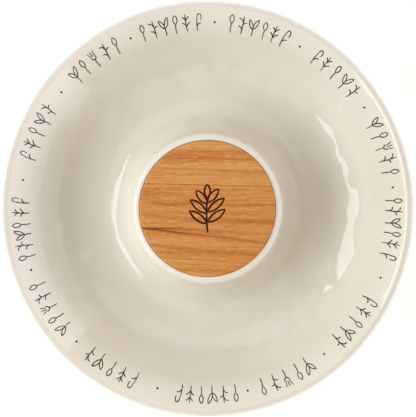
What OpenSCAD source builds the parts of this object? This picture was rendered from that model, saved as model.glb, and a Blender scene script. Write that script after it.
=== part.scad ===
// Chip and dip server: a one-piece glazed bowl with a raised dip well in the middle,
// a turned wooden lid that drops into the well's mouth, and the silicone ring round
// the lid's spigot. Millimetres, +Z up, origin at the centre of the foot's plane.

/* [Bowl] */
// Diameter over the rim
bowl_d = 343; // [330:1:360]
// Thickness of the pottery wall
wall_t = 6; // [5:0.5:7]
// Radius of the rolled rim
rim_round = 4; // [3.5:0.1:4.5]
// Height of the trough's lowest ring above the table
trough_z = 14; // [13:0.5:16]

/* [Dip well] */
// Bore of the dip well
well_d = 104; // [100:1:104]
// Height of the well's floor above the table
well_floor_z = 11; // [10:0.5:12]
// Radius between the well's floor and its wall
well_corner = 22; // [18:1:24]
// Height of the lip round the well's mouth
lip_z = 50; // [48:0.5:54]
// Radius of the lip's rounded shoulder
lip_shoulder = 5; // [4:0.5:6]

/* [Foot] */
// Outer diameter of the foot ring, measured where it joins the bowl
foot_d = 190; // [186:1:194]
// Width of the foot ring at its root
foot_w = 8.5; // [7:0.5:10]

/* [Lid] */
// Diameter of the wooden disc
lid_d = 112.5; // [111:0.5:113]
// Thickness of the wooden disc
lid_t = 10; // [9:0.5:11]
// How far the disc stands above the lip
lid_proud = 2; // [1:0.5:3]
// Diameter of the spigot under the disc
spigot_d = 99; // [98:0.5:100]
// Depth of the spigot below the disc
spigot_h = 9; // [9:0.5:10]
// Height of the groove for the silicone ring
groove_h = 4.4; // [4.4:0.1:5]

/* [Hidden] */
$fn = 144;

// Fits: the disc in the rebate, the disc on its ledge, the ring in the groove and in the bore
lid_gap = 0.25;
rest_gap = 0.1;
ring_fit = 0.05;
ring_end_gap = 0.2;
fin_gap = 0.1;

// Well and lip
well_r = well_d / 2;
ledge_z = lip_z + lid_proud - lid_t - rest_gap;
rebate_r = lid_d / 2 + lid_gap;
lip_inner_round = 0.7;
lip_crest_r = rebate_r + lip_inner_round;
ledge_ease = 0.8;

// Outside of the raised centre: a steep wall, a tight curve, then a long sweep
boss_lean = 78;
boss_turn = 60;
boss_tight = 10;
boss_sweep = 30;
lip_foot = [lip_crest_r, lip_z - lip_shoulder] + lip_shoulder * [sin(boss_lean), cos(boss_lean)];
sweep_drop = boss_sweep * (1 - cos(boss_turn));
tight_drop = boss_tight * (cos(boss_turn) - cos(boss_lean));
wall_foot_z = trough_z + sweep_drop + tight_drop;
wall_foot_r = lip_foot.x + (lip_foot.y - wall_foot_z) / tan(boss_lean);
tight_c = [wall_foot_r + boss_tight * sin(boss_lean), wall_foot_z + boss_tight * cos(boss_lean)];
trough_r = tight_c.x + (boss_sweep - boss_tight) * sin(boss_turn);
sweep_c = [trough_r, trough_z + boss_sweep];

// Flared wall: its slope in degrees at shares of the way from the trough's lowest ring
// to the rolled rim
wall_slopes = [[0, 0], [0.26, 12], [0.43, 34], [0.52, 42], [1, 42]];
rim_slope = wall_slopes[len(wall_slopes) - 1][1];
wall_steps = 32;
wall_end_r = bowl_d / 2 - rim_round - rim_round * sin(rim_slope);
wall_step = (wall_end_r - trough_r) / wall_steps;
// Share of the wall over which it thickens into the rim
rim_swell = 0.25;

// Foot
foot_out_r = foot_d / 2;
foot_in_r = foot_out_r - foot_w;
foot_taper = 1;
foot_ease = 1.2;

// Hollow under the raised centre
apex_round = 5;
well_c = [well_r - well_corner, well_floor_z + well_corner];
well_back = well_corner + wall_t;
sweep_back = boss_sweep + wall_t;

// Lid and ring
lid_r = lid_d / 2;
lid_top_z = lip_z + lid_proud;
lid_base_z = lid_top_z - lid_t;
lid_ease = 2;
spigot_r = spigot_d / 2;
spigot_z = lid_base_z - spigot_h;
spigot_ease = 1;
groove_r = 47;
groove_z = lid_base_z - 2 - groove_h;
ring_in_r = groove_r + ring_fit;
ring_body_r = spigot_r + 0.2;
ring_low_z = groove_z + ring_end_gap;
ring_high_z = groove_z + groove_h - ring_end_gap;
fin_r = well_r - fin_gap;
fin_t = 0.8;
fin_rise = 0.9;

// Points along an arc from angle a0 to angle a1 in n steps
function arc(c, r, a0, a1, n) =
    [for (i = [0:n]) let (a = a0 + (a1 - a0) * i / n) c + r * [cos(a), sin(a)]];

// The lower of the two points where two circles meet
function lower_meet(c1, r1, c2, r2) =
    let (
        gap = norm(c2 - c1),
        u = (c2 - c1) / gap,
        along = (r1 * r1 - r2 * r2 + gap * gap) / (2 * gap),
        across = sqrt(r1 * r1 - along * along)
    )
    c1 + along * u + across * [u.y, -u.x];

// Direction of one point from another, in degrees from 0 to 360
function heading(from, to) = (atan2(to.y - from.y, to.x - from.x) + 360) % 360;

// Slope and thickness of the flared wall at a share of its run
function wall_slope(share) = lookup(share, wall_slopes);
function wall_swell(share) = max(0, (share - 1 + rim_swell) / rim_swell);
function wall_depth(share) = wall_t + (2 * rim_round - wall_t) * pow(wall_swell(share), 2);

// Upper face of the flared wall, climbed step by step along its slope
wall_top = [
    for (i = 0, z = trough_z;
         i <= wall_steps;
         z = z + wall_step * tan(wall_slope((i + 0.5) / wall_steps)), i = i + 1)
        [trough_r + i * wall_step, z]
];

// Lower face of the flared wall, square to the upper one, from the rim in to the foot
wall_back = [
    for (i = [wall_steps:-1:0])
        let (
            share = i / wall_steps,
            slope = wall_slope(share),
            p = wall_top[i] + wall_depth(share) * [sin(slope), -cos(slope)]
        )
        if (p.x > foot_out_r + 1) p
];

rim_c = wall_top[wall_steps] + rim_round * [sin(rim_slope), -cos(rim_slope)];
apex_c = lower_meet(well_c, well_back + apex_round, sweep_c, sweep_back + apex_round);
foot_root_a = 180 + acos((sweep_c.x - foot_in_r) / sweep_back);
foot_root_z = sweep_c.y - sqrt(pow(sweep_back, 2) - pow(sweep_c.x - foot_in_r, 2));

module bowl_outline() {
    polygon(concat(
        [[0, well_floor_z]],
        arc(well_c, well_corner, 270, 360, 10),
        [[well_r, ledge_z - ledge_ease], [well_r + ledge_ease, ledge_z], [rebate_r, ledge_z]],
        arc([lip_crest_r, lip_z - lip_inner_round], lip_inner_round, 180, 90, 4),
        arc([lip_crest_r, lip_z - lip_shoulder], lip_shoulder, 90 - 13, 90 - boss_lean, 5),
        arc(tight_c, boss_tight, 270 - boss_lean, 270 - boss_turn, 4),
        arc(sweep_c, boss_sweep, 270 - boss_turn + 5, 270 - 5, 10),
        wall_top,
        arc(rim_c, rim_round, 90 + rim_slope - 15, 90 + rim_slope - 165, 10),
        wall_back,
        [[foot_out_r, trough_z - wall_t], [foot_out_r - foot_taper, foot_ease]],
        [[foot_out_r - foot_taper - foot_ease, 0], [foot_in_r + foot_taper + foot_ease, 0]],
        [[foot_in_r + foot_taper, foot_ease], [foot_in_r, foot_root_z]],
        arc(sweep_c, sweep_back, foot_root_a - 4, heading(sweep_c, apex_c), 10),
        arc(apex_c, apex_round, heading(apex_c, sweep_c) - 15, heading(apex_c, well_c) + 15, 6),
        arc(well_c, well_back, heading(well_c, apex_c), 270, 8),
        [[0, well_floor_z - wall_t]]
    ));
}

module chip_bowl() {
    color("cornsilk")
        rotate_extrude()
            bowl_outline();
}

module lid_outline() {
    polygon(concat(
        [[0, spigot_z], [spigot_r - spigot_ease, spigot_z], [spigot_r, spigot_z + spigot_ease]],
        [[spigot_r, groove_z], [groove_r, groove_z]],
        [[groove_r, groove_z + groove_h], [spigot_r, groove_z + groove_h]],
        [[spigot_r, lid_base_z], [lid_r - spigot_ease, lid_base_z], [lid_r, lid_base_z + spigot_ease]],
        arc([lid_r - lid_ease, lid_top_z - lid_ease], lid_ease, 0, 90, 6),
        [[0, lid_top_z]]
    ));
}

module wood_lid() {
    color("peru")
        rotate_extrude()
            lid_outline();
}

// One lip of the silicone ring, thinning towards the well's wall
function fin(z) = [
    [ring_body_r, z],
    [fin_r, z + fin_rise],
    [fin_r, z + fin_rise + fin_t / 2],
    [ring_body_r, z + fin_t]
];

module seal_outline() {
    polygon(concat(
        [[ring_in_r, ring_low_z], [ring_body_r, ring_low_z]],
        fin(ring_low_z + 0.5),
        fin(ring_low_z + 2.3),
        [[ring_body_r, ring_high_z], [ring_in_r, ring_high_z]]
    ));
}

module lid_seal() {
    color("gainsboro")
        rotate_extrude()
            seal_outline();
}

chip_bowl();
wood_lid();
lid_seal();
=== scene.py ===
"""Chip and dip server: the finished look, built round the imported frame.

A wide glazed bowl with a raised dip well, a band of brushed garden line work under
its rim, a turned hardwood lid with a burnt-in sprig, and the silicone ring that
seats the lid. All sizes are metres in the frame's own axes.
"""

import logging
import math
import random
from collections.abc import Callable, Iterator
from contextlib import contextmanager
from dataclasses import dataclass, field
from enum import Enum

import bmesh
import bpy
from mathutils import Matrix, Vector


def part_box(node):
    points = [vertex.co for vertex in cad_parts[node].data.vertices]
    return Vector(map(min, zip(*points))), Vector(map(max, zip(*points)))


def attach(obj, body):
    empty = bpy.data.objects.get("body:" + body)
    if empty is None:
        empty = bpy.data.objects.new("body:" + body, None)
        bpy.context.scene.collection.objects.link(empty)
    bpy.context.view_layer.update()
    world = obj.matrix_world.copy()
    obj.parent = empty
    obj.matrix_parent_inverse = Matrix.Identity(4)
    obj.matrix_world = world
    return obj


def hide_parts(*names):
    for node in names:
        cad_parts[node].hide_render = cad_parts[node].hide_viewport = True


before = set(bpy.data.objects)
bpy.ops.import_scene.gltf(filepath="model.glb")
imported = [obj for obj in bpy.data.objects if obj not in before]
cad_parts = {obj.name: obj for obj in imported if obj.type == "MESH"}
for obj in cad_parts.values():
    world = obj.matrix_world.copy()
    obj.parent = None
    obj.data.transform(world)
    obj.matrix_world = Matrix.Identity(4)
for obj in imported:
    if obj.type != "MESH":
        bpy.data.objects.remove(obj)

MM = 0.001
# Points nearer than this are one point
WELD = 0.01 * MM
# The same where a spun outline closes on itself
SEAM = 0.02 * MM
LOG = logging.getLogger("chip_and_dip")
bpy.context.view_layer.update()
Point = tuple[float, float]
Stroke = list[Point]
Triple = tuple[float, float, float]
Colour = Triple
Piece = bpy.types.Object
Socket = bpy.types.NodeSocket


# ---- modelling helpers


def only(*pieces: Piece) -> None:
    """Select these pieces alone and make the first one active.

    Args:
        pieces: The pieces to select.
    """
    bpy.ops.object.select_all(action="DESELECT")
    for piece in pieces:
        piece.select_set(True)
    bpy.context.view_layer.objects.active = pieces[0]


@contextmanager
def editing(piece: Piece, mode: str = "FACE") -> Iterator[None]:
    """Hold a piece in edit mode with everything deselected.

    Args:
        piece: The mesh to edit.
        mode: What is selected there: VERT, EDGE or FACE.
    """
    only(piece)
    bpy.ops.object.mode_set(mode="EDIT")
    bpy.ops.mesh.select_mode(type=mode)
    bpy.ops.mesh.select_all(action="DESELECT")
    yield
    bpy.ops.object.mode_set(mode="OBJECT")


def pick_faces(piece: Piece, test: Callable[[bmesh.types.BMFace], bool]) -> None:
    """Select the faces that pass a test, in edit mode.

    Args:
        piece: The mesh in edit mode.
        test: Says whether a face is picked.
    """
    mesh = bmesh.from_edit_mesh(piece.data)
    for face in mesh.faces:
        face.select_set(test(face))
    mesh.select_flush_mode()
    bmesh.update_edit_mesh(piece.data)


def on_all(operator: Callable[..., object], **settings: object) -> None:
    """Select everything in edit mode and run a mesh operator on it.

    Args:
        operator: The operator to run.
        settings: Its settings.
    """
    bpy.ops.mesh.select_all(action="SELECT")
    operator(**settings)


def finish_with(piece: Piece, kind: str, **settings: object) -> None:
    """Add a modifier with these settings and apply it.

    Args:
        piece: The mesh to finish.
        kind: The modifier's type.
        settings: The modifier's properties.
    """
    only(piece)
    modifier = piece.modifiers.new(kind.lower(), kind)
    for name, value in settings.items():
        setattr(modifier, name, value)
    bpy.ops.object.modifier_apply(modifier=modifier.name)


def turned(node: str, name: str, steps: int) -> Piece:
    """Take the half outline of a round CAD node and spin it into a finer body.

    Args:
        node: The CAD node whose outline is used.
        name: The new piece's name.
        steps: Steps in the full turn.

    Returns:
        The closed body, with its faces outwards.
    """
    piece = bpy.data.objects.new(name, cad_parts[node].data.copy())
    bpy.context.scene.collection.objects.link(piece)
    piece.data.materials.clear()
    mesh, zero = bpy.ops.mesh, (0, 0, 0)
    with editing(piece, "VERT"):
        on_all(mesh.remove_doubles, threshold=WELD)
        # Only the outline in the plane Y = 0 stays, and of that the half towards +X
        on_all(mesh.bisect, plane_co=zero, plane_no=(0, 1, 0), clear_inner=True, clear_outer=True)
        on_all(mesh.bisect, plane_co=zero, plane_no=(1, 0, 0), clear_inner=True)
        on_all(mesh.remove_doubles, threshold=SEAM)
        on_all(mesh.spin, steps=steps, angle=math.tau, center=zero, axis=(0, 0, 1))
    with editing(piece, "VERT"):
        on_all(mesh.remove_doubles, threshold=SEAM)
        mesh.normals_make_consistent(inside=False)
    return piece


def smooth_under(piece: Piece, degrees: float) -> None:
    """Smooth the shading over every edge flatter than an angle.

    Args:
        piece: The mesh to shade.
        degrees: Edges sharper than this stay crisp.
    """
    only(piece)
    bpy.ops.object.shade_smooth_by_angle(angle=math.radians(degrees))


def ease(x: float) -> float:
    """Rise smoothly from 0 to 1 as x does."""
    x = min(max(x, 0.0), 1.0)
    return x * x * (3 - 2 * x)


# ---- node helpers


class Nodes:
    """A short way to write shader nodes in a material or a group."""

    def __init__(self, tree: bpy.types.NodeTree) -> None:
        """Hold the tree that new nodes go into."""
        self.tree = tree

    def add(self, kind: str, **settings: object) -> bpy.types.Node:
        """Add a node and set its properties.

        Args:
            kind: The node's type, without the ShaderNode at its front.
            settings: Properties by name.

        Returns:
            The new node.
        """
        node = self.tree.nodes.new("ShaderNode" + kind)
        for name, value in settings.items():
            setattr(node, name, value)
        return node

    def feed(self, node: bpy.types.Node, **values: object) -> bpy.types.Node:
        """Set or link a node's inputs.

        Args:
            node: The node whose inputs are fed.
            values: A socket to link or a constant, by the input's name with
                underscores for spaces, or as inN for input number N.

        Returns:
            The same node.
        """
        for name, value in values.items():
            numbered = name[:2] == "in" and name[2:].isdigit()
            key = int(name[2:]) if numbered else name.replace("_", " ")
            if isinstance(value, Socket):
                self.tree.links.new(value, node.inputs[key])
            else:
                node.inputs[key].default_value = value
        return node

    def maths(self, operation: str, a: object, b: object = 0.0, clamp: bool = False) -> Socket:
        """Add a Math node.

        Args:
            operation: The node's operation.
            a: The first value or socket.
            b: The second value or socket.
            clamp: Keeps the result from 0 to 1.

        Returns:
            The result's socket.
        """
        node = self.add("Math", operation=operation, use_clamp=clamp)
        return self.feed(node, in0=a, in1=b).outputs[0]

    def ramp(self, value: object, low: float, high: float) -> Socket:
        """Stretch a value smoothly so that low gives 0 and high gives 1.

        Args:
            value: The socket that is read.
            low: The value that gives 0.
            high: The value that gives 1.

        Returns:
            The result's socket.
        """
        node = self.add("MapRange", interpolation_type="SMOOTHSTEP")
        self.feed(node, Value=value, From_Min=low, From_Max=high)
        return node.outputs["Result"]

    def blend(self, share: object, a: object, b: Colour) -> Socket:
        """Mix two colours.

        Args:
            share: How much of the second one shows.
            a: The first colour, or the socket that gives it.
            b: The second colour.

        Returns:
            The mixed colour's socket.
        """
        node = self.add("Mix", data_type="RGBA")
        first = (*a, 1) if isinstance(a, tuple) else a
        return self.feed(node, in0=share, in6=first, in7=(*b, 1)).outputs[2]

    def scaled(self, value: Socket, share: float, base: float = 0.0) -> Socket:
        """Multiply a value and add a constant to it.

        Args:
            value: The socket that is read.
            share: What it is multiplied by.
            base: What is added.

        Returns:
            The result's socket.
        """
        product = self.maths("MULTIPLY", value, share)
        return self.maths("ADD", product, base) if base else product

    def cloud(self, where: Socket, scale: object, detail: float = 3, rough: float = 0.5) -> Socket:
        """Add a noise texture.

        Args:
            where: The coordinates.
            scale: The noise's scale.
            detail: Its octaves.
            rough: The weight of the finer octaves.

        Returns:
            Its value, about 0.5 in the middle.
        """
        node = self.add("TexNoise")
        self.feed(node, Vector=where, Scale=scale, Detail=detail, Roughness=rough)
        return node.outputs["Fac"]

    def place(self, scale: Triple = (1, 1, 1), shift: Triple = (0, 0, 0)) -> Socket:
        """Give the piece's own coordinates, stretched and shifted.

        Args:
            scale: Stretch along each axis.
            shift: Shift along each axis.

        Returns:
            The coordinates' socket.
        """
        own = self.add("TexCoord").outputs["Object"]
        node = self.add("Mapping")
        self.feed(node, Vector=own, Location=shift, Scale=scale)
        return node.outputs["Vector"]


def new_group(
    name: str, inputs: dict[str, float], outputs: tuple[str, ...]
) -> tuple[Nodes, bpy.types.Node, bpy.types.Node]:
    """Start a shader node group with number inputs and outputs.

    Args:
        name: The group's name.
        inputs: Each input's name and default.
        outputs: The outputs' names.

    Returns:
        The group's node writer, and the nodes that stand for its inputs and outputs.
    """
    group = bpy.data.node_groups.new(name, "ShaderNodeTree")
    for label, value in inputs.items():
        socket = group.interface.new_socket(label, in_out="INPUT", socket_type="NodeSocketFloat")
        socket.default_value = value
    for label in outputs:
        group.interface.new_socket(label, in_out="OUTPUT", socket_type="NodeSocketFloat")
    ends = [group.nodes.new(kind) for kind in ("NodeGroupInput", "NodeGroupOutput")]
    return Nodes(group), *ends


def mottle_group() -> bpy.types.NodeTree:
    """Build the soft cloudy variation that glaze, clay, ink and rubber share.

    Returns:
        A group that puts out a broad mask and a fine one.
    """
    inputs = {"Broad Scale": 12.0, "Fine Scale": 300.0}
    n, given, result = new_group("mottle", inputs, ("Broad", "Fine"))
    own = n.add("TexCoord").outputs["Object"]
    broad = n.cloud(own, given.outputs["Broad Scale"], rough=0.55)
    fine = n.cloud(own, given.outputs["Fine Scale"], detail=4.0, rough=0.6)
    n.feed(result, Broad=n.ramp(broad, 0.3, 0.7), Fine=n.ramp(fine, 0.3, 0.7))
    return n.tree


def grain_group() -> bpy.types.NodeTree:
    """Build the long grain of a flat-sawn board, running along X.

    Returns:
        A group that puts out the ring bands, the fibres, the pores and the pale flecks.
    """
    inputs = {"Band Scale": 60.0, "Wander": 0.006}
    outputs = ("Bands", "Fibres", "Pores", "Flecks")
    n, given, result = new_group("long_grain", inputs, outputs)
    drift = n.cloud(n.place((9.0, 26.0, 9.0)), 1.0, detail=2.0)
    parts = n.feed(n.add("SeparateXYZ"), Vector=n.add("TexCoord").outputs["Object"])
    sway = n.maths("MULTIPLY", n.maths("SUBTRACT", drift, 0.5), given.outputs["Wander"])
    across = n.maths("ADD", parts.outputs["Y"], sway)
    # The bands run long: they change slowest along the board, and less downwards than across
    along, down = n.scaled(parts.outputs["X"], 0.045), n.scaled(parts.outputs["Z"], 0.6)
    line = n.feed(n.add("CombineXYZ"), X=along, Y=across, Z=down)
    bands = n.cloud(line.outputs["Vector"], given.outputs["Band Scale"], detail=4.0, rough=0.62)
    fibres = n.cloud(n.place((22.0, 900.0, 500.0)), 1.0, rough=0.65)
    pores = n.cloud(n.place((110.0, 1700.0, 1500.0)), 1.0, detail=1.0)
    flecks = n.cloud(n.place((150.0, 900.0, 900.0)), 1.0, rough=0.6)
    n.feed(result, Bands=bands, Fibres=n.ramp(fibres, 0.25, 0.75))
    n.feed(result, Pores=n.ramp(pores, 0.60, 0.74), Flecks=n.ramp(flecks, 0.46, 0.66))
    return n.tree


class Shared:
    """The node groups that several materials place, each built once.

    Attributes:
        built: The groups built so far, by name.
        makers: The function that builds each.
    """

    built: dict[str, bpy.types.NodeTree] = {}
    makers: dict[str, Callable[[], bpy.types.NodeTree]] = {
        "mottle": mottle_group,
        "long_grain": grain_group,
    }

    @classmethod
    def put(cls, n: Nodes, name: str, **values: float) -> bpy.types.Node:
        """Place a shared group in a material.

        Args:
            n: The material's node writer.
            name: The group's name.
            values: The inputs that differ from their defaults.

        Returns:
            The group's node.
        """
        if name not in cls.built:
            cls.built[name] = cls.makers[name]()
        node = n.add("Group", node_tree=cls.built[name])
        return n.feed(node, **values)


def new_material(name: str) -> tuple[bpy.types.Material, Nodes, bpy.types.Node]:
    """Start a material.

    Args:
        name: The material's name.

    Returns:
        The material, its node writer and its Principled BSDF.
    """
    material = bpy.data.materials.new(name)
    material.use_nodes = True
    n = Nodes(material.node_tree)
    return material, n, material.node_tree.nodes["Principled BSDF"]


def relief(n: Nodes, height: Socket, depth: float) -> Socket:
    """Turn a height into a bump normal.

    Args:
        n: The material's node writer.
        height: The height from 0 to 1.
        depth: The relief's depth in metres.

    Returns:
        The normal's socket.
    """
    node = n.add("Bump")
    n.feed(node, Height=height, Distance=depth)
    return node.outputs["Normal"]


# ---- finishes


@dataclass(frozen=True)
class Glaze:
    """Glossy warm white glaze, with a painted highlight that makes it paler over the well's lip.

    Attributes:
        body: Its colour.
        pooled: Its colour where it lies thicker.
        pooling: How much of the pooled colour shows there.
        lighter: Its colour over the lip, paler as a painted highlight where the lip's crest would
            catch the lamps.
        highlight_r: Radii from which and up to which the painted highlight fades outwards.
        highlight_z: Heights from which and up to which it gathers upwards.
        roughness: How soft its reflections are.
        smear: How much softer they get in places.
        ripple: Depth of its finest unevenness.
    """

    body: Colour = (0.86, 0.80, 0.69)
    pooled: Colour = (0.82, 0.75, 0.62)
    pooling: float = 0.6
    lighter: Colour = (0.92, 0.86, 0.75)
    highlight_r: Point = (57 * MM, 74 * MM)
    highlight_z: Point = (16 * MM, 46 * MM)
    roughness: float = 0.035
    smear: float = 0.02
    ripple: float = 0.03 * MM

    def material(self) -> bpy.types.Material:
        """Build the material."""
        material, n, skin = new_material("warm_white_glaze")
        mottle = Shared.put(n, "mottle", Broad_Scale=14.0, Fine_Scale=90.0)
        pools = n.scaled(mottle.outputs["Broad"], self.pooling)
        colour = n.blend(pools, self.body, self.pooled)
        flat = n.feed(n.add("VectorMath", operation="LENGTH"), Vector=n.place((1, 1, 0)))
        parts = n.feed(n.add("SeparateXYZ"), Vector=n.place())
        # Painted highlight: the glaze turns paler near the well's lip and higher up, where the
        # crest would catch the lamps
        near = n.maths("SUBTRACT", 1.0, n.ramp(flat.outputs["Value"], *self.highlight_r))
        lip = n.maths("MULTIPLY", near, n.ramp(parts.outputs["Z"], *self.highlight_z))
        n.feed(
            skin,
            Base_Color=n.blend(lip, colour, self.lighter),
            Roughness=n.scaled(mottle.outputs["Fine"], self.smear, self.roughness),
            Normal=relief(n, mottle.outputs["Fine"], self.ripple),
            IOR=1.5,
        )
        return material


@dataclass(frozen=True)
class Bisque:
    """Bare fired clay, where the foot is wiped before the kiln.

    Attributes:
        light: Its colour.
        dark: The colour of its specks and of its broad patches.
        patches: How dark the patches are.
        roughness: How matt it is.
        tooth: Depth of its grains.
    """

    light: Colour = (0.72, 0.60, 0.46)
    dark: Colour = (0.58, 0.46, 0.33)
    patches: float = 0.4
    roughness: float = 0.85
    tooth: float = 0.15 * MM

    def material(self) -> bpy.types.Material:
        """Build the material."""
        material, n, skin = new_material("bare_clay")
        mottle = Shared.put(n, "mottle", Broad_Scale=60.0, Fine_Scale=2500.0)
        colour = n.blend(mottle.outputs["Fine"], self.light, self.dark)
        patches = n.scaled(mottle.outputs["Broad"], self.patches)
        n.feed(
            skin,
            Base_Color=n.blend(patches, colour, self.dark),
            Roughness=self.roughness,
            Normal=relief(n, mottle.outputs["Fine"], self.tooth),
        )
        return material


@dataclass(frozen=True)
class Ink:
    """Dark underglaze line, a little uneven as a brush leaves it.

    Attributes:
        full: Its colour where the brush is full.
        lighter: Its colour where the brush runs dry.
        roughness: How soft its reflections are.
        smear: How much softer they get in places.
        shine: How strong they are.
    """

    full: Colour = (0.020, 0.017, 0.014)
    lighter: Colour = (0.050, 0.042, 0.035)
    roughness: float = 0.16
    smear: float = 0.12
    shine: float = 0.2

    def material(self) -> bpy.types.Material:
        """Build the material."""
        material, n, skin = new_material("underglaze_ink")
        mottle = Shared.put(n, "mottle", Broad_Scale=220.0, Fine_Scale=1500.0)
        n.feed(
            skin,
            Base_Color=n.blend(mottle.outputs["Broad"], self.full, self.lighter),
            Roughness=n.scaled(mottle.outputs["Fine"], self.smear, self.roughness),
            Specular_IOR_Level=self.shine,
        )
        return material


@dataclass(frozen=True)
class GrowthLine:
    """One dark growth line across the board, in millimetres.

    Attributes:
        offset: Its distance from the board's middle, along Y.
        slope: Rise along Y for each unit along X.
        width: Half its width.
        left: How dark it is at its left end, from 0 to 1.
        right: How dark it is at its right end.
        wander: How far it strays from straight.
    """

    offset: float
    slope: float
    width: float
    left: float
    right: float
    wander: float


@dataclass(frozen=True)
class OiledHardwood:
    """Oiled cherry-coloured hardwood with the grain along X.

    Attributes:
        fleck: The colour of the pale flecks between the fibres.
        pale: The colour of the palest bands.
        mid: The colour between pale and deep.
        deep: The colour of the darkest bands and of the fibres.
        amber: The colour of a growth line's sides and of the pores.
        streak: The colour of a growth line's core.
        banding: How much of the deep colour its bands show.
        fibring: How much of it the fibres show.
        flecking: How much of the fleck colour shows.
        pitting: How much of the amber colour the pores show.
        roughness: How matt the oil is.
        dryness: How much more matt the fibres are.
        shine: How strong its reflections are.
        furrow: Depth of its fibres and pores.
        reach: Distance from the board's middle to either end, in millimetres.
        lines: Its growth lines, from the back to the front.
    """

    fleck: Colour = (0.83, 0.44, 0.16)
    pale: Colour = (0.79, 0.375, 0.110)
    mid: Colour = (0.70, 0.258, 0.050)
    deep: Colour = (0.51, 0.140, 0.018)
    amber: Colour = (0.42, 0.105, 0.012)
    streak: Colour = (0.13, 0.018, 0.006)
    banding: float = 0.85
    fibring: float = 0.40
    flecking: float = 0.45
    pitting: float = 0.5
    roughness: float = 0.40
    dryness: float = 0.14
    shine: float = 0.35
    furrow: float = 0.05 * MM
    reach: float = 56.0
    lines: tuple[GrowthLine, ...] = (
        GrowthLine(47.5, -0.020, 0.50, 0.55, 0.45, 1.0),
        GrowthLine(41.0, -0.025, 0.50, 0.50, 0.45, 1.2),
        GrowthLine(32.0, -0.026, 1.00, 0.40, 0.40, 1.6),
        GrowthLine(19.3, -0.020, 0.50, 0.80, 0.55, 0.8),
        GrowthLine(3.8, -0.005, 1.00, 0.70, 0.45, 3.2),
        GrowthLine(-9.5, -0.060, 1.60, 0.35, 0.50, 3.0),
        GrowthLine(-18.2, -0.045, 1.10, 1.00, 0.00, 2.0),
        GrowthLine(-22.6, -0.120, 1.10, 0.95, 0.45, 1.4),
        GrowthLine(-34.7, -0.094, 1.40, 0.50, 0.40, 2.0),
        GrowthLine(-43.0, -0.075, 0.55, 0.45, 0.35, 1.2),
        GrowthLine(-46.6, -0.075, 0.55, 0.30, 0.45, 1.2),
    )

    def growth(self, n: Nodes) -> Socket:
        """Add every growth line and give their joint mask.

        Args:
            n: The material's node writer.

        Returns:
            The mask, 1 where a line is darkest.
        """
        own = n.add("TexCoord").outputs["Object"]
        in_mm = n.feed(n.add("VectorMath", operation="SCALE"), Vector=own, Scale=1 / MM)
        parts = n.feed(n.add("SeparateXYZ"), Vector=in_mm.outputs["Vector"])
        along, across = parts.outputs["X"], parts.outputs["Y"]
        mask: object = 0.0
        for number, line in enumerate(self.lines):
            # Each line reads another stretch of the two noises
            sway = n.cloud(n.place((22.0, 9.0, 30.0), (3.1 * number, 0, 0)), 1.0, rough=0.6)
            patchy = n.cloud(n.place((30.0, 90.0, 60.0), (0, number, 0)), 1.0)
            wander = n.scaled(n.maths("SUBTRACT", sway, 0.5), 2 * line.wander)
            centre = n.scaled(along, line.slope, line.offset)
            away = n.maths("SUBTRACT", across, n.maths("ADD", centre, wander))
            far = n.ramp(n.maths("ABSOLUTE", away), 0.0, 2 * line.width)
            near = n.maths("SUBTRACT", 1.0, far)
            fall = n.scaled(along, (line.right - line.left) / (2 * self.reach))
            dark = n.maths("ADD", fall, (line.left + line.right) / 2, clamp=True)
            shown = n.maths("MULTIPLY", n.ramp(patchy, 0.30, 0.56), dark)
            mask = n.maths("MAXIMUM", mask, n.maths("MULTIPLY", near, shown))
        return mask

    def material(self) -> bpy.types.Material:
        """Build the material."""
        material, n, skin = new_material("oiled_hardwood")
        grain = Shared.put(n, "long_grain", Band_Scale=105.0, Wander=0.012)
        bands, fibres = grain.outputs["Bands"], grain.outputs["Fibres"]
        flecks, pores = grain.outputs["Flecks"], grain.outputs["Pores"]
        growth = self.growth(n)
        colour = n.blend(n.ramp(bands, 0.36, 0.60), self.pale, self.mid)
        layers = (
            (n.scaled(n.ramp(bands, 0.52, 0.70), self.banding), self.deep),
            (n.scaled(fibres, self.fibring), self.deep),
            (n.scaled(flecks, self.flecking), self.fleck),
            (growth, self.amber),
            (n.ramp(growth, 0.55, 1.0), self.streak),
            (n.scaled(pores, self.pitting), self.amber),
        )
        for share, tint in layers:
            colour = n.blend(share, colour, tint)
        n.feed(
            skin,
            Base_Color=colour,
            Roughness=n.scaled(fibres, self.dryness, self.roughness),
            Normal=relief(n, n.scaled(n.maths("ADD", fibres, pores), -0.5), self.furrow),
            Specular_IOR_Level=self.shine,
        )
        return material


@dataclass(frozen=True)
class Scorch:
    """Wood burnt dark by a hot iron, sooty and matt.

    Attributes:
        char: Its colour.
        brown: The colour of its fibres.
        roughness: How matt it is.
        shine: How strong its reflections are.
        furrow: Depth of its fibres.
    """

    char: Colour = (0.038, 0.008, 0.005)
    brown: Colour = (0.085, 0.018, 0.010)
    roughness: float = 0.78
    shine: float = 0.12
    furrow: float = 0.08 * MM

    def material(self) -> bpy.types.Material:
        """Build the material."""
        material, n, skin = new_material("scorched_wood")
        grain = Shared.put(n, "long_grain", Band_Scale=300.0, Wander=0.004)
        n.feed(
            skin,
            Base_Color=n.blend(grain.outputs["Fibres"], self.char, self.brown),
            Roughness=self.roughness,
            Specular_IOR_Level=self.shine,
            Normal=relief(n, grain.outputs["Fibres"], self.furrow),
        )
        return material


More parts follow.
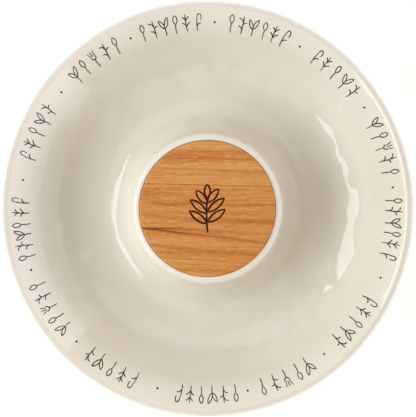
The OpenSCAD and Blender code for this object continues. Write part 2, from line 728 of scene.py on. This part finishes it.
@dataclass(frozen=True)
class Silicone:
    """Cloudy soft silicone rubber.

    Attributes:
        clear: Its colour.
        cloudy: The colour of its cloudier patches.
        roughness: How soft its reflections are.
        smear: How much softer they get in places.
        tooth: Depth of its fine texture.
        glow: How much of the light passes under its skin.
        glow_r: How far that light travels.
    """

    clear: Colour = (0.78, 0.78, 0.76)
    cloudy: Colour = (0.70, 0.70, 0.67)
    roughness: float = 0.38
    smear: float = 0.15
    tooth: float = 0.02 * MM
    glow: float = 0.25
    glow_r: float = 4 * MM

    def material(self) -> bpy.types.Material:
        """Build the material."""
        material, n, skin = new_material("cloudy_silicone")
        mottle = Shared.put(n, "mottle", Broad_Scale=50.0, Fine_Scale=1800.0)
        n.feed(
            skin,
            Base_Color=n.blend(mottle.outputs["Broad"], self.clear, self.cloudy),
            Roughness=n.scaled(mottle.outputs["Fine"], self.smear, self.roughness),
            Normal=relief(n, mottle.outputs["Fine"], self.tooth),
            Subsurface_Weight=self.glow,
            Subsurface_Radius=(self.glow_r,) * 3,
            Subsurface_Scale=1.0,
            IOR=1.41,
        )
        return material


@dataclass(frozen=True)
class StudioPaper:
    """White background paper that glows a little, so that it stays pale.

    Attributes:
        white: Its colour.
        glow: Strength of the light that it gives off.
        roughness: How matt it is.
        tooth: Depth of its fibres.
    """

    white: Colour = (0.90, 0.90, 0.90)
    glow: float = 0.30
    roughness: float = 0.9
    tooth: float = 0.05 * MM

    def material(self) -> bpy.types.Material:
        """Build the material."""
        material, n, skin = new_material("studio_paper")
        tooth = n.cloud(n.place(), 500.0, detail=2.0)
        n.feed(
            skin,
            Base_Color=(*self.white, 1),
            Roughness=self.roughness,
            Specular_IOR_Level=0.1,
            Emission_Color=(1, 1, 1, 1),
            Emission_Strength=self.glow,
            Normal=relief(n, tooth, self.tooth),
        )
        return material


# ---- the bowl


@dataclass
class ChipBowl:
    """The one-piece glazed bowl.

    Attributes:
        steps: Steps in the full turn before the surface is smoothed.
        inner_r: Radius inside which the well's mouth stays true for the lid.
        slump: How much narrower the fired rim is across X.
        throwing: Height of the soft unevenness that the hand leaves.
        swells: Its sizes, each with its share of that height.
        inner_fade: Width over which it starts beyond inner_r.
        outer_fade: Width over which it ends under the rim.
        rim_w: Distance in from the outer edge at which it starts to end.
        turns: Radii where the face turns fastest and the hand leaves the most.
        turn_w: How far from those radii it is back to its least.
        least: Its least share of the height.
        land_z: Height up to which the foot is bare clay.
    """

    steps: int = 128
    inner_r: float = 62.5 * MM
    slump: float = 1.1 * MM
    throwing: float = 1.1 * MM
    swells: tuple[Point, ...] = ((0.021, 1.9), (0.075, 1.0))
    inner_fade: float = 8 * MM
    outer_fade: float = 14 * MM
    rim_w: float = 40 * MM
    turns: tuple[float, ...] = (72 * MM, 119 * MM)
    turn_w: float = 16 * MM
    least: float = 0.45
    land_z: float = 0.9 * MM
    piece: Piece = field(init=False)

    def build(self) -> Piece:
        """Build, dress and place the bowl.

        Returns:
            The bowl.
        """
        self.piece = turned("chip_bowl", "glazed_bowl", self.steps)
        finish_with(self.piece, "SUBSURF", levels=1, render_levels=1)
        self.settle()
        self.throw()
        smooth_under(self.piece, degrees=50)
        self.dress()
        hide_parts("chip_bowl")
        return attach(self.piece, "bowl")

    def settle(self) -> None:
        """Let the rim go slightly oval, as it does in the kiln."""
        _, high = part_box("chip_bowl")
        reach = high.x - self.inner_r
        for point in self.piece.data.vertices:
            share = ease((point.co.xy.length - self.inner_r) / reach)
            point.co.x *= 1 - share * self.slump / high.x

    def throw(self) -> None:
        """Raise and lower the glazed face softly, away from the well's mouth."""
        group = self.piece.vertex_groups.new(name="glazed_face")
        _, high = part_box("chip_bowl")
        edge = high.x - self.rim_w
        for point in self.piece.data.vertices:
            far = point.co.xy.length
            inside = ease((far - self.inner_r) / self.inner_fade)
            inside *= 1 - ease((far - edge) / self.outer_fade)
            pressed = max(ease(1 - abs(far - turn) / self.turn_w) for turn in self.turns)
            # Nothing moves where the face looks sideways or down
            upper = ease(point.normal.z * 3)
            share = inside * upper * (self.least + (1 - self.least) * pressed)
            if share > 0:
                group.add([point.index], share, "REPLACE")
        for scale, share in self.swells:
            texture = bpy.data.textures.new("throwing", "CLOUDS")
            texture.noise_scale = scale
            texture.noise_depth = 1
            finish_with(
                self.piece,
                "DISPLACE",
                texture=texture,
                texture_coords="LOCAL",
                vertex_group="glazed_face",
                strength=self.throwing * share,
            )
        self.piece.vertex_groups.clear()

    def dress(self) -> None:
        """Glaze the bowl and leave the foot's land bare."""
        self.piece.data.materials.append(Glaze().material())
        self.piece.data.materials.append(Bisque().material())
        with editing(self.piece):
            pick_faces(self.piece, lambda face: face.calc_center_median().z < self.land_z)
            self.piece.active_material_index = 1
            bpy.ops.object.material_slot_assign()


# ---- line work


def arc(centre: Point, size: Point, start: float, end: float, steps: int) -> Stroke:
    """Draw part of an ellipse.

    Args:
        centre: Its centre.
        size: Its half width and half height.
        start: The first angle in degrees.
        end: The last angle in degrees.
        steps: Steps along it.

    Returns:
        The stroke.
    """
    turns = [math.radians(start + (end - start) * i / steps) for i in range(steps + 1)]
    return [(centre[0] + size[0] * math.cos(a), centre[1] + size[1] * math.sin(a)) for a in turns]


def bow(start: Point, end: Point, bulge: float, steps: int = 8) -> Stroke:
    """Draw a line that bulges to its left.

    Args:
        start: The first point.
        end: The last point.
        bulge: How far its middle stands off.
        steps: Steps along it.

    Returns:
        The stroke.
    """
    across = (start[1] - end[1], end[0] - start[0])
    reach = math.hypot(*across)
    stroke = []
    for i in range(steps + 1):
        share = i / steps
        off = 4 * share * (1 - share) * bulge / reach
        x = start[0] + (end[0] - start[0]) * share + across[0] * off
        y = start[1] + (end[1] - start[1]) * share + across[1] * off
        stroke.append((x, y))
    return stroke


def leaf(foot: Point, tip: Point, fat: float) -> list[Stroke]:
    """Outline a pointed leaf.

    Args:
        foot: Where it joins its stem.
        tip: Its point.
        fat: Half its width.

    Returns:
        Its two edges.
    """
    return [bow(foot, tip, fat), bow(foot, tip, -fat)]


def reed() -> list[Stroke]:
    """Draw an upright reed with a pointed head, on a field from -1 to 1."""
    return [bow((0.0, -1.0), (0.0, 0.0), 0.05), *leaf((0.0, 0.0), (0.0, 1.0), 0.26)]


def seedling() -> list[Stroke]:
    """Draw a stem that opens into two leaves, on a field from -1 to 1."""
    left = leaf((0.0, -0.25), (-0.60, 0.78), 0.20)
    right = leaf((0.0, -0.25), (0.56, 0.98), -0.20)
    return [bow((0.0, -1.0), (0.0, -0.25), -0.04), *left, *right]


def fern() -> list[Stroke]:
    """Draw a stem with two pairs of rising side shoots, on a field from -1 to 1."""
    strokes = [bow((0.0, -1.0), (0.0, 1.0), 0.06)]
    for height, reach in ((-0.40, 0.54), (0.24, 0.44)):
        strokes.append(bow((0.0, height), (-reach, height + 0.48), -0.07))
        strokes.append(bow((0.0, height), (reach, height + 0.48), 0.07))
    return strokes


def tendril() -> list[Stroke]:
    """Draw a stem that curls over at its top, on a field from -1 to 1."""
    curl = arc((0.20, 0.58), (0.26, 0.40), 180, -50, 12)
    shoot = bow((-0.10, -0.40), (0.42, -0.10), 0.12)
    return [bow((-0.12, -1.0), (-0.06, 0.58), 0.08), curl, shoot]


def thistle() -> list[Stroke]:
    """Draw a stem with a cupped head and three bristles, on a field from -1 to 1."""
    cup = arc((0.0, 0.36), (0.32, 0.36), 180, 360, 10)
    bristles = [bow((x * 0.5, 0.36), (x, 1.0), 0.0, 2) for x in (-0.42, 0.0, 0.42)]
    return [bow((0.0, -1.0), (0.0, 0.0), 0.06), cup, *bristles]


def laurel() -> list[Stroke]:
    """Draw a stem with single bowed leaves left and right, on a field from -1 to 1."""
    strokes = [bow((-0.04, -1.0), (0.04, 1.0), -0.05)]
    for height, side in ((-0.58, -1), (-0.14, 1), (0.30, -1)):
        strokes.append(bow((0.0, height), (0.54 * side, height + 0.42), 0.16 * side))
    return strokes


class Border(Enum):
    """The three plant rows that repeat round the rim."""

    MEADOW = (reed, laurel, seedling, reed, fern, tendril)
    HEDGE = (tendril, fern, reed, seedling, laurel)
    BANK = (seedling, reed, thistle, laurel, reed)


@dataclass(frozen=True)
class Pen:
    """Draws strokes as flat ribbons.

    Attributes:
        width: The line's full width.
        sheet_z: The height at which they are drawn.
        weights: The least and greatest weight of a stroke.
        tremble: The least and greatest weight of a point along it.
        ends: The weight of a stroke's two ends.
    """

    width: float
    sheet_z: float = 0.12
    weights: Point = (0.88, 1.10)
    tremble: Point = (0.93, 1.07)
    ends: float = 0.72

    def ribbons(self, name: str, strokes: list[Stroke], seed: int) -> Piece:
        """Draw strokes, in metres on the XY plane, as one flat ribbon mesh.

        Args:
            name: The new piece's name.
            strokes: Their points.
            seed: Seeds the line's changes of weight.

        Returns:
            The ribbons, facing up.
        """
        rng = random.Random(seed)
        curve = bpy.data.curves.new(name, "CURVE")
        curve.dimensions = "3D"
        curve.twist_mode = "Z_UP"
        curve.extrude = self.width / 2
        for stroke in strokes:
            spline = curve.splines.new("POLY")
            spline.points.add(len(stroke) - 1)
            weight = rng.uniform(*self.weights)
            for i, (x, y) in enumerate(stroke):
                end = self.ends if i in (0, len(stroke) - 1) else 1.0
                spline.points[i].co = (x, y, self.sheet_z, 1)
                spline.points[i].tilt = math.pi / 2
                spline.points[i].radius = weight * end * rng.uniform(*self.tremble)
        piece = bpy.data.objects.new(name, curve)
        bpy.context.scene.collection.objects.link(piece)
        only(piece)
        bpy.ops.object.convert(target="MESH")
        piece = bpy.context.object
        with editing(piece):
            pick_faces(piece, lambda face: face.normal.z < 0)
            bpy.ops.mesh.flip_normals()
        return piece


@dataclass
class RimOrnament:
    """The band of brushed plants under the rim, with a dot between each two rows.

    Attributes:
        middle_r: Radius of the band's middle.
        half: Half its height.
        row_span: Angle that a row takes, in degrees.
        pitches: Plants in a row, and how many steps between them fill that angle.
        middles: Each row's middle, in degrees clockwise from the back. They were
            spaced by hand, so they are uneven.
        stray: How far a plant strays from its place, in degrees.
        lean: How far it leans, as a share of its height.
        smallest: The height of the smallest plant, as a share of the tallest.
        narrow: A plant's width as a share of its height.
        line: Width of the brushed line.
        proud: How far the line stands on the glaze.
        body: Depth of the line's own body.
        dot: Radius of a dot.
        seed: Seeds the hand's unevenness.
    """

    middle_r: float = 154.3 * MM
    half: float = 7.0 * MM
    row_span: float = 20.5
    pitches: tuple[Point, ...] = ((5, 5.25), (6, 6))
    middles: tuple[float, ...] = (
        16, 43.5, 71, 96, 127.5, 155, 180, 211, 238, 263.5, 294, 323, 348.5,
    )
    stray: float = 0.2
    lean: float = 0.07
    smallest: float = 0.93
    narrow: float = 0.95
    line: float = 0.85 * MM
    proud: float = 0.06 * MM
    body: float = 0.35 * MM
    dot: float = 0.9 * MM
    seed: int = 11

    def on_band(self, degrees: float, out: float) -> Point:
        """Place a point by its angle clockwise from the back and its height in the band.

        Args:
            degrees: The angle.
            out: Metres outwards from the band's middle.

        Returns:
            Its X and Y.
        """
        turn = math.radians(degrees)
        far = self.middle_r + out
        return far * math.sin(turn), far * math.cos(turn)

    def row(self, number: int, rng: random.Random) -> list[Stroke]:
        """Draw one row of plants, bent round the band.

        Args:
            number: The row's place round the rim.
            rng: Draws the hand's unevenness.

        Returns:
            Its strokes.
        """
        plants = tuple(Border)[number % len(Border)].value
        pitch = self.row_span / dict(self.pitches)[len(plants)]
        per_metre = math.degrees(1 / self.middle_r)
        strokes = []
        for place, plant in enumerate(plants):
            centre = self.middles[number] + (place - (len(plants) - 1) / 2) * pitch
            centre += rng.uniform(-self.stray, self.stray)
            lean = rng.uniform(-self.lean, self.lean)
            size = self.half * rng.uniform(self.smallest, 1.0)
            for stroke in plant():
                bent = []
                for x, y in stroke:
                    along = (x * self.narrow + y * lean) * size
                    bent.append(self.on_band(centre + along * per_metre, y * size))
                strokes.append(bent)
        return strokes

    def add_dots(self, piece: Piece, sheet_z: float) -> None:
        """Put one dot halfway between each row and the next.

        Args:
            piece: The ribbons that the dots join.
            sheet_z: The height at which they are drawn.
        """
        dots = []
        for number, middle in enumerate(self.middles):
            after = self.middles[(number + 1) % len(self.middles)]
            gap = (after - middle) % 360
            x, y = self.on_band(middle + gap / 2, 0.0)
            only(piece)
            bpy.ops.mesh.primitive_circle_add(
                vertices=14, radius=self.dot, fill_type="NGON", location=(x, y, sheet_z)
            )
            bpy.ops.object.transform_apply(location=True)
            dots.append(bpy.context.object)
        only(piece, *dots)
        bpy.ops.object.join()

    def build(self, ground: Piece) -> Piece:
        """Brush the band onto the bowl.

        Args:
            ground: The glazed bowl.

        Returns:
            The band.
        """
        rng = random.Random(self.seed)
        strokes = [s for number in range(len(self.middles)) for s in self.row(number, rng)]
        pen = Pen(self.line)
        piece = pen.ribbons("rim_garden_band", strokes, self.seed)
        self.add_dots(piece, pen.sheet_z)
        finish_with(
            piece,
            "SHRINKWRAP",
            target=ground,
            wrap_method="PROJECT",
            use_project_z=True,
            use_negative_direction=True,
            use_positive_direction=False,
            offset=self.proud,
        )
        finish_with(piece, "SOLIDIFY", thickness=self.body, offset=-1.0)
        smooth_under(piece, degrees=40)
        piece.data.materials.append(Ink().material())
        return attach(piece, "bowl")


# ---- lid and ring


@dataclass
class WoodLid:
    """The turned hardwood lid with its burnt-in sprig.

    Attributes:
        steps: Steps in the full turn.
        sprig_w: Half the sprig's width.
        sprig_h: Half the sprig's height.
        line: Width of the burnt line.
        depth: Depth of the burn.
        above: How far above the face the iron starts.
        border: Width of the flat ring kept round each end face.
        seed: Seeds the line's changes of weight.
    """

    steps: int = 192
    sprig_w: float = 15.5 * MM
    sprig_h: float = 20.0 * MM
    line: float = 1.55 * MM
    depth: float = 0.45 * MM
    above: float = 1.0 * MM
    border: float = 1.2 * MM
    seed: int = 5
    piece: Piece = field(init=False)

    def build(self) -> Piece:
        """Turn the lid, burn the sprig in and dress it.

        Returns:
            The lid.
        """
        self.piece = turned("wood_lid", "turned_lid", self.steps)
        self.face_off()
        self.piece.data.materials.append(OiledHardwood().material())
        self.burn()
        smooth_under(self.piece, degrees=32)
        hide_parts("wood_lid")
        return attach(self.piece, "lid")

    def face_off(self) -> None:
        """Make the two end faces single flats with a narrow ring round each."""
        low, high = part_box("wood_lid")
        for height in (low.z, high.z):
            with editing(self.piece):
                pick_faces(
                    self.piece, lambda face: abs(face.calc_center_median().z - height) < WELD
                )
                bpy.ops.mesh.dissolve_faces()
                bpy.ops.mesh.inset(thickness=self.border)

    def sprig(self) -> list[Stroke]:
        """Draw the sprig: a stem, three pairs of leaves and one at the tip.

        Returns:
            Its strokes, in metres.
        """
        strokes = [bow((0.02, -1.0), (0.0, 0.42), 0.05), *leaf((0.0, 0.42), (0.0, 1.0), 0.16)]
        pairs = ((-0.62, 0.96, 0.52), (-0.20, 0.92, 0.56), (0.20, 0.62, 0.54))
        for height, reach, rise in pairs:
            strokes += leaf((0.0, height), (-reach, height + rise), 0.15)
            strokes += leaf((0.0, height + 0.06), (reach, height + 0.06 + rise), -0.15)
        return [[(x * self.sprig_w, y * self.sprig_h) for x, y in stroke] for stroke in strokes]

    def burn(self) -> None:
        """Sink the sprig into the top face and scorch what it leaves."""
        _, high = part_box("wood_lid")
        pen = Pen(self.line, high.z + self.above)
        iron = pen.ribbons("iron", self.sprig(), self.seed)
        finish_with(iron, "SOLIDIFY", thickness=self.above + self.depth, offset=-1.0)
        scorch = Scorch().material()
        iron.data.materials.append(scorch)
        self.piece.data.materials.append(scorch)
        finish_with(
            self.piece,
            "BOOLEAN",
            operation="DIFFERENCE",
            object=iron,
            solver="EXACT",
            use_self=True,
            material_mode="TRANSFER",
        )
        bpy.data.objects.remove(iron)


@dataclass
class LidSeal:
    """The silicone ring in the lid's groove.

    Attributes:
        steps: Steps in the full turn.
        edge: Width of its rounded edges.
    """

    steps: int = 160
    edge: float = 0.12 * MM

    def build(self) -> Piece:
        """Build and dress the ring.

        Returns:
            The ring.
        """
        piece = turned("lid_seal", "silicone_ring", self.steps)
        finish_with(piece, "BEVEL", width=self.edge, segments=2, limit_method="ANGLE")
        smooth_under(piece, degrees=45)
        piece.data.materials.append(Silicone().material())
        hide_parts("lid_seal")
        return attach(piece, "seal")


# ---- the studio


@dataclass(frozen=True)
class Softbox:
    """One soft studio lamp, aimed at the bowl.

    Attributes:
        name: Its name.
        heading: Degrees clockwise from the back, seen from above.
        height: Degrees above the table.
        width: The panel's width.
        tall: The panel's height.
        power: Its power in watts.
        colour: Its colour.
    """

    name: str
    heading: float
    height: float
    width: float
    tall: float
    power: float
    colour: Colour


@dataclass
class Studio:
    """The table, the lamps and the camera.

    Attributes:
        camera_z: The camera's height above the table.
        sensor: The sensor's width in millimetres.
        fill: The share of the picture's width that the bowl takes.
        shift: The camera's shift to the side, as a share of the picture's width.
        rim_drop: Depth of the bowl's widest ring below its top.
        floor_r: Radius of the floor.
        floor_inset: How far in from its edge the floor has an inner ring.
        floor_drop: How far the floor lies below the foot.
        reach: Distance of the lamps.
        aim_z: Height at which they are aimed.
        sky: Brightness of the room.
        sky_colour: Its colour, warm as light that pale walls throw back.
        lamps: The lamps.
    """

    camera_z: float = 1.5
    sensor: float = 36.0
    fill: float = 0.9985
    shift: float = 0.0016
    rim_drop: float = 4.0 * MM
    floor_r: float = 7.0
    floor_inset: float = 5.0
    floor_drop: float = 0.2 * MM
    reach: float = 1.6
    aim_z: float = 0.03
    sky: float = 0.28
    sky_colour: Colour = (1.0, 0.79, 0.60)
    lamps: tuple[Softbox, ...] = (
        Softbox("window", 264, 29, 2.0, 0.70, 20.0, (0.84, 0.92, 1.0)),
        Softbox("right_low", 90, 14, 3.0, 0.7, 13.0, (0.78, 0.84, 1.0)),
        Softbox("right_narrow", 90, 14, 1.4, 0.7, 4.8, (1.0, 0.90, 0.66)),
        Softbox("right_sill", 90, 5, 2.8, 0.22, 8.6, (0.80, 0.86, 1.0)),
        Softbox("back_high", 0, 60, 2.0, 1.2, 6.7, (0.85, 0.95, 1.0)),
        Softbox("front_high", 190, 62, 1.8, 1.0, 2.7, (0.86, 0.97, 1.0)),
        Softbox("back_sill", 0, 5, 2.8, 0.22, 11.6, (0.82, 0.84, 1.0)),
        Softbox("front_sill", 180, 5, 2.8, 0.22, 9.4, (0.80, 0.86, 1.0)),
        Softbox("front_left", 225, 42, 1.8, 0.9, 1.8, (0.88, 0.97, 1.0)),
    )

    def table(self) -> None:
        """Lay the pale floor."""
        bpy.ops.object.select_all(action="DESELECT")
        bpy.ops.mesh.primitive_circle_add(
            vertices=96, radius=self.floor_r, fill_type="NGON", location=(0, 0, -self.floor_drop)
        )
        floor = bpy.context.object
        floor.name = "studio_floor"
        bpy.ops.object.transform_apply(location=True)
        with editing(floor):
            on_all(bpy.ops.mesh.inset, thickness=self.floor_inset)
        floor.data.materials.append(StudioPaper().material())

    def room(self) -> None:
        """Fill the room with even pale light."""
        world = bpy.data.worlds.new("studio")
        bpy.context.scene.world = world
        world.use_nodes = True
        sky = world.node_tree.nodes["Background"]
        sky.inputs["Color"].default_value = (*self.sky_colour, 1)
        sky.inputs["Strength"].default_value = self.sky

    def light(self, lamp: Softbox) -> None:
        """Hang one lamp and aim it at the bowl's middle.

        Args:
            lamp: The lamp to hang.
        """
        turn, rise = math.radians(lamp.heading), math.radians(lamp.height)
        level = math.cos(rise)
        out = Vector((math.sin(turn) * level, math.cos(turn) * level, math.sin(rise)))
        data = bpy.data.lights.new(lamp.name, "AREA")
        data.shape = "RECTANGLE"
        data.size = lamp.width
        data.size_y = lamp.tall
        data.energy = lamp.power
        data.color = lamp.colour
        piece = bpy.data.objects.new(lamp.name, data)
        piece.location = Vector((0, 0, self.aim_z)) + out * self.reach
        piece.rotation_euler = out.to_track_quat("Z", "Y").to_euler()
        bpy.context.scene.collection.objects.link(piece)

    def camera(self) -> None:
        """Hang the camera straight above the bowl."""
        low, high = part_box("chip_bowl")
        data = bpy.data.cameras.new("overhead")
        data.sensor_width = self.sensor
        widest_z = high.z - self.rim_drop
        data.lens = self.fill * self.sensor * (self.camera_z - widest_z) / (high.x - low.x)
        data.shift_x = self.shift
        piece = bpy.data.objects.new("overhead", data)
        piece.location = (0, 0, self.camera_z)
        bpy.context.scene.collection.objects.link(piece)
        bpy.context.scene.camera = piece
        bpy.context.scene.view_settings.view_transform = "Standard"

    def build(self) -> None:
        """Set the whole studio up."""
        self.table()
        self.room()
        for lamp in self.lamps:
            self.light(lamp)
        self.camera()


# ---- the server


def main() -> None:
    """Build every piece in order and report each one."""
    logging.basicConfig(level=logging.INFO, format="%(message)s")
    bowl = ChipBowl().build()
    band = RimOrnament().build(bowl)
    lid = WoodLid().build()
    ring = LidSeal().build()
    for piece in (bowl, band, lid, ring):
        piece.data.calc_loop_triangles()
        LOG.info("%s: %d triangles", piece.name, len(piece.data.loop_triangles))
    Studio().build()


if __name__ == "__main__":
    main()
